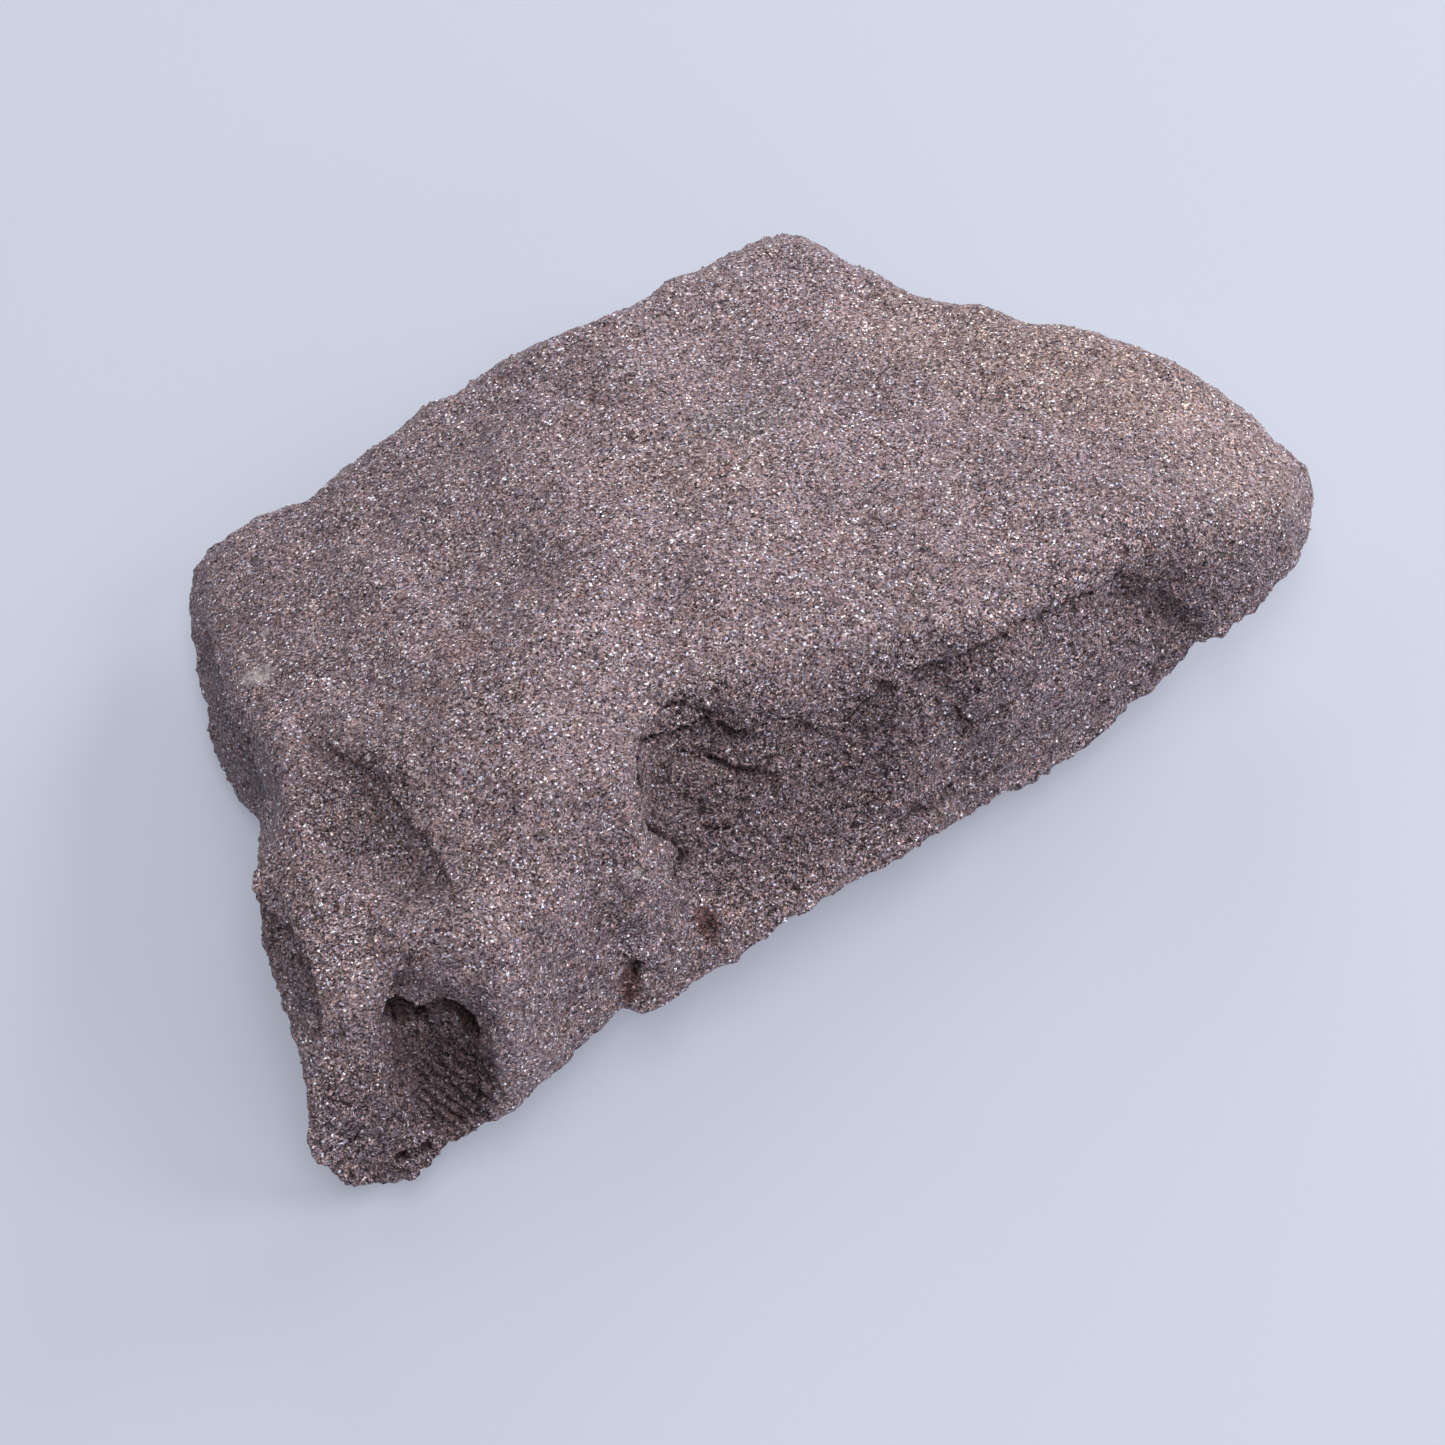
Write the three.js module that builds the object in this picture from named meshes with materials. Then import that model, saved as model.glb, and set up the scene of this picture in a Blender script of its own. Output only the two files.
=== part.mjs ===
// Tosudite in sandstone: one natural hand specimen, broken from a bed of purplish brown sandstone.
//
// The stone is a single closed body, about 115 mm long, 104 mm deep and 30 mm high. It lies on the
// flat patch of its underside, with +Z up. Two surfaces meet along one irregular rim, which is the
// widest outline of the stone:
//   - the upper surface is the gently domed bedding face, with broken side faces falling to the rim;
//   - the underside is a set of fracture faces that climb from the flat resting patch to the rim.
// Named breaks (a spalled scar, a scoop, a valley, a groove, a ledge and a notch), lumps and thin
// beds then shape both surfaces.
// Lengths are in millimetres and angles in degrees.

import * as THREE from 'three';
import { ImprovedNoise } from 'three/addons/math/ImprovedNoise.js';

// ---------------------------------------------------------------------------------------------
// Driving dimensions
// ---------------------------------------------------------------------------------------------

const RINGS = 28; // rings of triangles between the middle of each surface and the rim
const RIM_STEPS = 6 * RINGS; // vertices along the rim
const RING_CROWDING = 1.5; // above 1 the rings crowd towards the rim, where the faces are steep
const MIDDLE = { x: -4, y: -2 }; // the rings close in on this point

// The rim, clockwise from the left corner: x, y and height of each point.
const RIM = [
  [-57.5, 13, 6], [-56.9, 17.8, 7], [-53.6, 20.4, 8], [-50, 22.5, 9], [-44.9, 23.4, 10],
  [-42.4, 25.1, 11], [-37.6, 28.5, 12], [-33.5, 32, 13], [-28.9, 34.3, 14], [-24.8, 37.3, 14.7],
  [-20.1, 39.4, 15.1], [-15.4, 41, 15.6], [-13, 41.8, 15.8], [-8.1, 46.3, 16], [-5.3, 47.6, 16],
  [1.2, 51.7, 16], [4.5, 52.4, 16], [7.5, 50.7, 16], [10.1, 48.2, 16], [13.1, 47.1, 15.8],
  [18.6, 43.6, 15.7], [25.6, 41.9, 15.6], [28.9, 39.9, 15.6], [34, 39.3, 15.5],
  [37.9, 37, 15.5], [42.5, 34.9, 15.5], [46.8, 32.8, 15.5], [51.2, 30.5, 15],
  [54.6, 26.8, 14.5], [57.7, 23.2, 13], [57.5, 19.7, 12.8], [56, 14.4, 12.2],
  [53.6, 11.6, 12], [49.4, 7.6, 12], [44.9, 6, 9.3],
  [43.7, 4.5, 8], [38.9, 0.8, 6.3], [32.9, -4, 5.5], [25.6, -9.6, 6], [22.4, -11.7, 6.5],
  [18, -15.8, 7.8], [12.2, -19.7, 9], [3.7, -25.6, 10], [-1.3, -29.1, 9], [-5.6, -31.4, 8.6],
  [-10.5, -34.5, 8.2], [-12.3, -34.1, 7.8], [-15.2, -36.6, 7.5], [-20.1, -41.5, 6.8],
  [-23.1, -44.4, 6.5], [-29.9, -47.9, 5], [-32.3, -50.5, 4], [-37.1, -51.3, 3],
  [-40.3, -51.2, 7], [-41.9, -51, 11], [-42, -46.1, 16], [-43.1, -42.6, 17], [-45.5, -36.3, 18.3],
  [-47.5, -29.4, 19], [-47.9, -26.4, 20], [-47.6, -21.5, 17], [-49.4, -12.4, 4], [-53.5, -5.4, 3],
  [-55.3, 0.9, 4], [-57.1, 9, 5.5],
];

// The broken side faces above the rim, at stations round the stone. width is how far a face reaches
// in from the rim before it meets the bedding face; hollow is 0 where it bulges and 1 where it is
// scooped. The first stations follow the rim, and the last stand on either side of the scar's wall.
const SIDES = [
  { x: -57, y: 12, width: 3, hollow: 0 },
  { x: -40, y: 27, width: 2, hollow: 0 },
  { x: -13, y: 42, width: 3, hollow: 0 },
  { x: 4, y: 52, width: 3, hollow: 0 },
  { x: 34, y: 40, width: 3, hollow: 0 },
  { x: 57, y: 22, width: 4, hollow: 0 },
  { x: 53, y: 11, width: 4, hollow: 0 },
  { x: 43, y: 4, width: 4.5, hollow: 0.2 },
  { x: 30, y: -6, width: 5.5, hollow: 0.2 },
  { x: 18, y: -16, width: 10, hollow: 0.5 },
  { x: 8, y: -22, width: 16, hollow: 0.65 },
  { x: -1, y: -28, width: 18, hollow: 0.65 },
  { x: -15, y: -36, width: 10, hollow: 0.1 },
  { x: -21, y: -43, width: 7, hollow: 0.2 },
  { x: -28, y: -46, width: 12, hollow: 0.6 },
  { x: -35, y: -50, width: 14, hollow: 0.4 },
  { x: -41, y: -49, width: 12, hollow: 0.3 },
  { x: -44, y: -38, width: 4, hollow: 0 },
  { x: -48, y: -26, width: 3, hollow: 0 },
  { x: -49, y: -12, width: 3, hollow: 0 },
  { x: -55, y: 0, width: 4, hollow: 0 },
  { x: -14, y: -17, width: 13, hollow: 0.2 },
  { x: -13.5, y: -23, width: 13, hollow: 0.25 },
  { x: -11, y: -29, width: 12, hollow: 0.3 },
  { x: -8, y: -16, width: 18.5, hollow: 0.6 },
  { x: -5.5, y: -21, width: 18, hollow: 0.65 },
  { x: -3, y: -26, width: 18, hollow: 0.65 },
];
const RIM_BLEND = 0.6; // squared distance within which rim points blend fully
const SIDE_BLEND = 2; // squared distance within which stations blend fully
const BULGE_POWER = 2.6; // how quickly a bulging side face climbs from the rim
const HOLLOW_POWER = 1.9; // how late a scooped side face climbs from the rim

// The bedding face is the lowest of these tilted planes, blended over BEDDING_BLEND. Each passes
// through x, y at height and falls by fall millimetres in each millimetre towards azimuth.
const BEDDING = [
  { x: 0, y: -10, height: 29, azimuth: 60, fall: 0.02 },
  { x: 0, y: 6, height: 28.5, azimuth: 95, fall: 0.24 },
  { x: 38, y: 10, height: 28, azimuth: 20, fall: 0.45 },
  { x: 36, y: 8, height: 27, azimuth: -35, fall: 0.5 },
  { x: -30, y: -10, height: 27.5, azimuth: 190, fall: 0.35 },
  { x: -27, y: -7, height: 27, azimuth: 150, fall: 0.48 },
];
const BEDDING_BLEND = 1.6;

// The underside is the highest of the resting plane, at height 0, and these fracture planes, blended
// over UNDERSIDE_BLEND. Each leaves height 0 at x, y and climbs by climb towards azimuth.
const FRACTURES = [
  { x: 0, y: 22, azimuth: 90, climb: 0.33 },
  { x: 27, y: 6, azimuth: 10, climb: 0.26 },
  { x: -30, y: 6, azimuth: 165, climb: 0.16 },
  { x: 8, y: -9, azimuth: -58, climb: 0.34 },
];
const UNDERSIDE_BLEND = 0.8;
// The underside curls up to the rim over a width of least, and perHeight more for each millimetre of
// the rim's height.
const UNDERCUT = { least: 4, perHeight: 0.6 };
const UNDERCUT_POWER = 2.6; // above 1 the curl is steepest at the rim

// Pieces that broke away from the upper surface, as outlines seen from above. Each is depth deep,
// measured along the surface normal, and reaches that depth over bank inside its outline.
const BREAKS = {
  scar: {
    outline: [[-11.5, -13], [-5, -11.5], [5, -10.5], [12, -8.5], [16, -12], [14, -18], [5, -25],
      [-6, -28], [-6.5, -24], [-10.5, -20.5]],
    depth: 1.6,
    bank: 3,
  },
  scoop: {
    outline: [[-36, -37], [-31, -38], [-27, -38], [-22, -41], [-24, -46], [-31, -50], [-37, -47]],
    depth: 2.5,
    bank: 4,
  },
  valley: {
    outline: [[-46, -5], [-41, -8], [-36, -15], [-32, -23], [-28, -31], [-34, -34], [-44, -27]],
    depth: 1.2,
    bank: 4,
  },
  groove: {
    outline: [[30, 2], [38, 7], [46, 8], [54, 12], [52, 8], [44, 4], [34, -1]],
    depth: 1,
    bank: 3,
  },
  ledge: {
    outline: [[6, -20], [14, -15], [24, -7], [26, -8], [23, -11], [14, -17.5], [7, -22]],
    depth: 1,
    bank: 1.5,
  },
  notch: {
    outline: [[-13, -30], [-9.5, -30.5], [-10.5, -35], [-13.5, -34]],
    depth: 1.2,
    bank: 1.5,
  },
};

// Lumps stand out along the surface normal: size is their spacing, rise their height.
const LUMPS = [
  { size: 13, rise: 1.0 },
  { size: 6.5, rise: 0.6 },
];
// Thin beds stand out on the steep side faces: run is their length, thickness their height.
const BEDS = { run: 24, thickness: 4.5, rise: 1.6 };
const NORMAL_ROUNDS = 5; // how often normals are averaged before the surface moves along them
const RIM_SHARE = 0.35; // the share of this relief that reaches the rim, whose own line is irregular
const RIM_FADE = 4; // the rest fades out over this width towards the rim
const NOISE_LAYER = 7.3; // the slice of the noise field that the stone is cut from

const SANDSTONE = { color: 0x84747b, roughness: 0.93, metalness: 0 };

// ---------------------------------------------------------------------------------------------
// Helpers
// ---------------------------------------------------------------------------------------------

// A smooth minimum of two heights, rounded over the width blend.
function smoothMin(a, b, blend) {
  const overlap = Math.max(blend - Math.abs(a - b), 0) / blend;
  return Math.min(a, b) - (overlap * overlap * blend) / 4;
}

const smoothMax = (a, b, blend) => -smoothMin(-a, -b, blend);

// How far the point lies beyond plane.x, plane.y towards the plane's azimuth.
function reach(plane, x, y) {
  const angle = THREE.MathUtils.degToRad(plane.azimuth);
  return (x - plane.x) * Math.cos(angle) + (y - plane.y) * Math.sin(angle);
}

// ---------------------------------------------------------------------------------------------
// The rim
// ---------------------------------------------------------------------------------------------

const rimCurve = new THREE.CatmullRomCurve3(
  RIM.map((point) => new THREE.Vector3(...point)),
  true,
  'centripetal',
);
const rim = rimCurve.getSpacedPoints(RIM_STEPS).slice(0, RIM_STEPS);

// The point at a fraction of the way round the rim.
function rimAt(fraction) {
  const step = fraction * RIM_STEPS;
  const before = Math.floor(step) % RIM_STEPS;
  const after = (before + 1) % RIM_STEPS;
  return rim[before].clone().lerp(rim[after], step - Math.floor(step));
}

// What the rim near x, y is like: its distance in plan, and its height, blended from the rim points
// round about.
function rimNear(x, y) {
  let nearest = Infinity;
  let total = 0;
  let height = 0;
  rim.forEach((start, step) => {
    const end = rim[(step + 1) % RIM_STEPS];
    const dx = end.x - start.x;
    const dy = end.y - start.y;
    const along = THREE.MathUtils.clamp(
      ((x - start.x) * dx + (y - start.y) * dy) / (dx * dx + dy * dy), 0, 1);
    const distance = Math.hypot(x - start.x - along * dx, y - start.y - along * dy);
    const weight = 1 / (RIM_BLEND + distance ** 2) ** 2;
    nearest = Math.min(nearest, distance);
    total += weight;
    height += weight * THREE.MathUtils.lerp(start.z, end.z, along);
  });
  return { distance: nearest, height: height / total };
}

// The side face at x, y: its width and hollow, blended from the stations round it.
function sideAt(x, y) {
  let total = 0;
  let width = 0;
  let hollow = 0;
  for (const station of SIDES) {
    const weight = 1 / (SIDE_BLEND + (station.x - x) ** 2 + (station.y - y) ** 2) ** 2;
    total += weight;
    width += weight * station.width;
    hollow += weight * station.hollow;
  }
  return { width: width / total, hollow: hollow / total };
}

// ---------------------------------------------------------------------------------------------
// The two surfaces
// ---------------------------------------------------------------------------------------------

function beddingHeight(x, y) {
  return BEDDING.map((plane) => plane.height - plane.fall * reach(plane, x, y))
    .reduce((a, b) => smoothMin(a, b, BEDDING_BLEND));
}

function upperHeight(x, y) {
  const { distance, height } = rimNear(x, y);
  const { width, hollow } = sideAt(x, y);
  const inward = Math.min(distance / width, 1);
  const bulging = 1 - (1 - inward) ** BULGE_POWER;
  const scooped = inward ** HOLLOW_POWER;
  const climb = THREE.MathUtils.lerp(bulging, scooped, hollow);
  return THREE.MathUtils.lerp(height, beddingHeight(x, y), climb);
}

function fractureHeight(x, y) {
  return FRACTURES.map((plane) => plane.climb * reach(plane, x, y))
    .reduce((a, b) => smoothMax(a, b, UNDERSIDE_BLEND), 0);
}

function lowerHeight(x, y) {
  const { distance, height } = rimNear(x, y);
  const width = UNDERCUT.least + UNDERCUT.perHeight * height;
  const outward = Math.max(1 - distance / width, 0) ** UNDERCUT_POWER;
  return THREE.MathUtils.lerp(fractureHeight(x, y), height, outward);
}

// ---------------------------------------------------------------------------------------------
// The mesh: two hexagonal discs of rings, which share the rim
// ---------------------------------------------------------------------------------------------

// Adds one disc's vertices and triangles. Ring k has 6k vertices, and ring RINGS is the rim itself.
function addDisc(positions, triangles, heightAt, faceUp) {
  const firstOfRing = [positions.length / 3];
  positions.push(MIDDLE.x, MIDDLE.y, heightAt(MIDDLE.x, MIDDLE.y));
  for (let ring = 1; ring < RINGS; ring += 1) {
    const scale = 1 - (1 - ring / RINGS) ** RING_CROWDING;
    firstOfRing.push(positions.length / 3);
    for (let step = 0; step < 6 * ring; step += 1) {
      const outer = rimAt(step / (6 * ring));
      const x = THREE.MathUtils.lerp(MIDDLE.x, outer.x, scale);
      const y = THREE.MathUtils.lerp(MIDDLE.y, outer.y, scale);
      positions.push(x, y, heightAt(x, y));
    }
  }
  firstOfRing.push(0); // the rim's vertices come first in the list
  const vertex = (ring, step) => (ring === 0 ? firstOfRing[0] : firstOfRing[ring] + (step % (6 * ring)));
  for (let ring = 0; ring < RINGS; ring += 1) {
    for (let sector = 0; sector < 6; sector += 1) {
      for (let step = 0; step <= ring; step += 1) {
        const inner = vertex(ring, sector * ring + step);
        const outer = vertex(ring + 1, sector * (ring + 1) + step);
        const outerNext = vertex(ring + 1, sector * (ring + 1) + step + 1);
        triangles.push(faceUp ? [inner, outerNext, outer] : [inner, outer, outerNext]);
        if (step === ring) continue;
        const innerNext = vertex(ring, sector * ring + step + 1);
        triangles.push(faceUp ? [inner, innerNext, outerNext] : [inner, outerNext, innerNext]);
      }
    }
  }
}

// How deep a broken-out piece is at x, y: 0 outside its outline.
function breakDepth(piece, x, y) {
  let edge = Infinity;
  let inside = false;
  piece.outline.forEach(([ax, ay], i) => {
    const [bx, by] = piece.outline[(i + 1) % piece.outline.length];
    const length = (bx - ax) ** 2 + (by - ay) ** 2;
    const along = THREE.MathUtils.clamp(((x - ax) * (bx - ax) + (y - ay) * (by - ay)) / length, 0, 1);
    edge = Math.min(edge, Math.hypot(x - ax - along * (bx - ax), y - ay - along * (by - ay)));
    if (ay > y !== by > y && x < ((bx - ax) * (y - ay)) / (by - ay) + ax) inside = !inside;
  });
  return inside ? piece.depth * THREE.MathUtils.smoothstep(edge, 0, piece.bank) : 0;
}

// Averages each vertex's normal with those of the triangles' other corners round it, so that
// neighbours move together in a sharp fold and the surface doesn't cross itself.
function smoothNormals(geometry) {
  const facing = geometry.attributes.normal;
  const corners = geometry.index.array;
  const sums = Array.from({ length: facing.count }, () => new THREE.Vector3());
  for (let i = 0; i < corners.length; i += 3) {
    const triangle = [corners[i], corners[i + 1], corners[i + 2]];
    const total = new THREE.Vector3();
    for (const corner of triangle) total.add(new THREE.Vector3().fromBufferAttribute(facing, corner));
    for (const corner of triangle) sums[corner].add(total);
  }
  sums.forEach((sum, i) => facing.setXYZ(i, ...sum.normalize()));
}

// Moves every vertex that isn't on the resting patch along its normal: out and in by the lumps and
// the beds, and in by the breaks of the upper surface.
function shapeSurface(geometry) {
  geometry.computeVertexNormals();
  for (let round = 0; round < NORMAL_ROUNDS; round += 1) smoothNormals(geometry);
  const noise = new ImprovedNoise();
  const place = geometry.attributes.position;
  const facing = geometry.attributes.normal;
  for (let i = 0; i < place.count; i += 1) {
    const point = new THREE.Vector3().fromBufferAttribute(place, i);
    if (point.z === 0) continue;
    const normal = new THREE.Vector3().fromBufferAttribute(facing, i);
    let rise = 0;
    for (const lump of LUMPS) {
      const at = point.clone().divideScalar(lump.size);
      rise += lump.rise * noise.noise(at.x, at.y, at.z + NOISE_LAYER);
    }
    const bed = noise.noise(point.x / BEDS.run, point.y / BEDS.run, point.z / BEDS.thickness);
    rise += BEDS.rise * bed * (1 - Math.abs(normal.z));
    if (normal.z > 0) {
      for (const piece of Object.values(BREAKS)) rise -= breakDepth(piece, point.x, point.y);
    }
    const inward = Math.min(rimNear(point.x, point.y).distance / RIM_FADE, 1);
    rise *= THREE.MathUtils.lerp(RIM_SHARE, 1, inward);
    point.addScaledVector(normal, rise);
    place.setXYZ(i, point.x, point.y, Math.max(point.z, 0));
  }
}

function makeStone() {
  const positions = rim.flatMap((point) => [point.x, point.y, point.z]);
  const triangles = [];
  addDisc(positions, triangles, upperHeight, true);
  addDisc(positions, triangles, lowerHeight, false);
  const geometry = new THREE.BufferGeometry();
  geometry.setAttribute('position', new THREE.Float32BufferAttribute(positions, 3));
  geometry.setIndex(triangles.flat());
  shapeSurface(geometry);
  // The origin is the middle of the stone's box, at the height of the resting patch.
  geometry.computeBoundingBox();
  const centre = geometry.boundingBox.getCenter(new THREE.Vector3());
  geometry.translate(-centre.x, -centre.y, 0);
  geometry.computeVertexNormals();
  return geometry;
}

const stone = new THREE.Mesh(makeStone(), new THREE.MeshStandardMaterial(SANDSTONE));
stone.name = 'sandstone';

const specimen = new THREE.Group();
specimen.add(stone);

export default specimen;
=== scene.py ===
"""Tosudite in sandstone: one purplish brown hand specimen, lying on a pale table.

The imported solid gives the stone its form. Here its surface is cut finer and moved along its normals
for the breaks, cracks, pits and thin beds that are too small for the solid, and sand grains are
seated in it: quartz, feldspar, rock and clay-coated grains, each kind one mesh.

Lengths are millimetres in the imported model's frame, with +Z up. MM turns them into metres. How far up
a place of the surface faces is the height of its normal: 1 is straight up and -1 straight down.
"""

import itertools
import math

import bpy
import numpy as np
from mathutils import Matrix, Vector
from mathutils.bvhtree import BVHTree


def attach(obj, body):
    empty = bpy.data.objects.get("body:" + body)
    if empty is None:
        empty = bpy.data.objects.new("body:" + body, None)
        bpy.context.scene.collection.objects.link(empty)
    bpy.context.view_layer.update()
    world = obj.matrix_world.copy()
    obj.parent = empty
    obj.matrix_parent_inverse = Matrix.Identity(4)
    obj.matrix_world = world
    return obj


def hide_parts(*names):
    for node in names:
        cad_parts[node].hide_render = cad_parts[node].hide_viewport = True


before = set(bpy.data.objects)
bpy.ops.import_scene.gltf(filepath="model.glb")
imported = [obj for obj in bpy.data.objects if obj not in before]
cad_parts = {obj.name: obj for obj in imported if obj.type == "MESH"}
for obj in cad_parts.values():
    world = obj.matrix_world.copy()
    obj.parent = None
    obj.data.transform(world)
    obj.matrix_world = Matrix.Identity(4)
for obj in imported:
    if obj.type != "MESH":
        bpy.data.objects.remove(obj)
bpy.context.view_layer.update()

MM = 0.001  # metres in a millimetre

# ----------------------------------------------------------------------------
# The camera, the table and the light
# ----------------------------------------------------------------------------

CAMERA = {"target": (-3, -5, 12), "distance": 470, "elevation": 60, "lens": 117.1,
          "nearest": 10, "furthest": 20000}
SENSOR = 36  # the sensor's width, in millimetres
PHOTO_WIDTH = 1445  # of the square photo, in pixels
FLOOR_RADIUS = 3000
FLOOR_SIDES = 96
FLOOR_DROP = 0.02  # the table's top lies this far below the stone's resting patch
TABLE_COLOR = (0.343, 0.367, 0.428)
TABLE_CLOUDS = {"size": 300, "start": 0.3, "stop": 0.7, "brighter": 1.03}
TABLE_GRAIN = {"size": 1.5, "strength": 0.1, "depth": 0.1}
TABLE_ROUGHNESS = 0.6
TABLE_GLOW = (0.22, 0.235, 0.285)  # light that comes up through the table, as on a lit studio table

# Soft lamps a metre away: azimuth from +X towards +Y and elevation in degrees, the disc's width, and
# the power in watts. The low one at the back right does most of the work.
LAMP_DISTANCE = 1000
LAMPS = {
    "back_right_lamp": {"azimuth": 47, "elevation": 21, "width": 480, "power": 5.7},
    "back_lamp": {"azimuth": 92, "elevation": 23, "width": 450, "power": 2.5},
    "right_lamp": {"azimuth": 0, "elevation": 38, "width": 450, "power": 3.0},
    "front_right_lamp": {"azimuth": 315, "elevation": 22, "width": 450, "power": 1.5},
    "front_lamp": {"azimuth": 270, "elevation": 66, "width": 500, "power": 3.3},
    "left_lamp": {"azimuth": 140, "elevation": 45, "width": 450, "power": 0.7},
    "overhead_lamp": {"azimuth": 60, "elevation": 86, "width": 600, "power": 2.4},
}
LAMP_COLOR = (1.0, 0.99, 0.98)
SKY_COLOR = (0.86, 0.91, 1.0)
SKY_STRENGTH = 0.04

# ----------------------------------------------------------------------------
# The stone's surface: how finely it is cut
# ----------------------------------------------------------------------------

# How long an edge may be on the upper surface and the underside, far from any break, and how long on
# the roughest ground, on the scoop's ribs and within reach of a step or a crack.
LONGEST_EDGE = {"top": 0.82, "underside": 1.5, "rough": 0.56, "ribs": 0.27, "steps": 0.38,
                "cracks": 0.19}
ROUGHEST = 1.05  # ground is cut finer where its extra roughness is above this
REACH = {"steps": 0.9, "cracks": 0.45}  # how far from its line a step or a crack is cut finer
JOINED_DECIMALS = 4  # the solid's points that agree to this many decimals are joined
UNDERSIDE_FACING = -0.2  # the surface that faces up less than this is the underside
CUT_ROUNDS = 8  # how often the edges that are too long are halved
ROUNDING = 0.75  # new points go this share of the way to the planes that touch their edge's ends
NORMAL_ROUNDS = 2  # how often the solid's normals are averaged before the surface moves along them
SEED = 41

# ----------------------------------------------------------------------------
# The stone's surface: what broke away
# ----------------------------------------------------------------------------

# Lines along the breaks, as places in the photo, in pixels from its top left corner. The camera's
# rays through these places find where the lines run on the solid.
LINES = {
    # The scar: its left edge from the foot up, the rim along its back, and thin beds inside it.
    "scar_edge": [(672, 884), (680, 866), (685, 853), (678, 845), (668, 838), (655, 830), (642, 820),
                  (641, 800), (638, 780), (636, 762), (641, 748)],
    "scar_rim": [(630, 743), (646, 739), (663, 737), (682, 729), (692, 723), (707, 719), (722, 727),
                 (734, 734), (749, 731), (762, 726)],
    "upper_rim": [(655, 713), (668, 707), (682, 703), (697, 710), (712, 715), (728, 719)],
    "right_rim": [(770, 722), (791, 720), (808, 726), (822, 739)],
    "bed_a": [(700, 755), (722, 763), (740, 769), (758, 772), (772, 776), (785, 782)],
    "bed_b": [(663, 791), (677, 790), (692, 797), (707, 812), (719, 816)],
    "bed_c": [(708, 834), (716, 828), (729, 820)],
    # The right side: the brink of its face, the groove above the lower edge, the hollow near the end,
    # and a small lump.
    "brink": [(822, 739), (845, 722), (872, 694), (900, 676), (925, 668), (950, 662), (975, 650),
              (1000, 634), (1025, 622), (1050, 612), (1075, 600), (1100, 590), (1120, 578),
              (1140, 566), (1165, 556)],
    "low_groove": [(888, 826), (905, 818), (925, 806), (945, 795), (965, 786), (985, 779)],
    "end_groove": [(1112, 586), (1130, 590), (1146, 596), (1160, 604), (1176, 613), (1196, 622),
                   (1216, 629)],
    "lump_foot": [(955, 704), (961, 717), (973, 724), (985, 720), (991, 708)],
    # The left side: the valley, the edge above the dark side, and the lip further down.
    "valley": [(290, 716), (308, 730), (330, 745), (352, 756), (371, 764), (384, 780), (400, 806),
               (418, 828), (432, 846), (442, 864), (452, 884), (461, 908)],
    "left_edge": [(207, 622), (213, 645), (220, 668), (227, 704), (236, 722), (248, 738), (255, 758),
                  (262, 776), (267, 796), (267, 814)],
    "left_lip": [(257, 888), (266, 912), (282, 922), (295, 938), (306, 958), (314, 985), (319, 1015),
                 (321, 1045)],
    # The scoop: its back, the two dark pockets under it, its right side and the hollow at its foot.
    "scoop_back": [(386, 1012), (389, 1000), (398, 999), (410, 1005), (424, 1004), (436, 997),
                   (450, 998), (464, 1006), (476, 1018), (487, 1034)],
    "left_pocket": [(388, 1003), (397, 1010), (409, 1015), (420, 1019), (430, 1019)],
    "right_pocket": [(440, 1005), (450, 1009), (460, 1016), (470, 1026), (480, 1038)],
    "scoop_right": [(487, 1034), (494, 1050), (497, 1068), (493, 1090), (480, 1110), (460, 1131),
                    (442, 1149)],
    "scoop_foot": [(392, 1163), (408, 1155), (421, 1149), (438, 1146)],
    "tip_crack": [(338, 1152), (350, 1144), (362, 1134)],
    "notch": [(643, 961), (640, 966), (634, 976)],
}

LINE_DEPTH = 3  # a line only reaches points that are no further than this below or above it
LINE_TIE = 1e-6  # stretches of a line whose distances differ by less than this are equally near
BREAKS_FACING = (-0.2, 0.05)  # breaks fade in on surface that faces up between these two

# Breaks stray from their lines: the size of the bends and how far they go.
WOBBLE = [(1.7, 0.3), (0.6, 0.26), (0.35, 0.14)]

# Stretches where cracks are partly closed: their size, how much they close, and the values of the
# noise between which they go from open to closed.
CLOSED = {"size": 2.1, "share": 0.6, "fade": (-0.05, -0.3)}

# Steps: the surface falls by drop over a width of wall on the right of the line, as the line runs,
# and climbs back over a distance of about run. The fallen side gets painted shade of strength shade.
# A step fades in over ends from each end of its line.
STEPS = {
    "scar_edge": {"drop": 0.5, "wall": 0.3, "run": 1.1, "ends": 1, "shade": 1.05},
    "scar_rim": {"drop": 0.6, "wall": 0.5, "run": 2.5, "ends": 2, "shade": 0.45},
    "right_rim": {"drop": 0.5, "wall": 0.5, "run": 1.8, "ends": 1.5, "shade": 0.4},
    "bed_a": {"drop": 0.3, "wall": 0.3, "run": 1.4, "ends": 1.5, "shade": 0.35},
    "brink": {"drop": 0.7, "wall": 0.6, "run": 2.5, "ends": 5, "shade": 0.55},
    "valley": {"drop": 0.95, "wall": 0.55, "run": 4, "ends": 5, "shade": 0.4},
    "left_edge": {"drop": 0.5, "wall": 0.4, "run": 4, "ends": 2, "shade": 0.6},
    "left_lip": {"drop": 0.6, "wall": 0.5, "run": 4, "ends": 2, "shade": 0.75},
    "scoop_back": {"drop": 0.9, "wall": 0.7, "run": 5, "ends": 1.5, "shade": 0.9},
    "scoop_right": {"drop": 0.4, "wall": 0.8, "run": 2.5, "ends": 1.5, "shade": 0.3},
    "lump_foot": {"drop": 0.4, "wall": 0.4, "run": 1.2, "ends": 1, "shade": 0.4},
}

STEP_REACH = 14  # a step is no longer felt this far from its line

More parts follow.
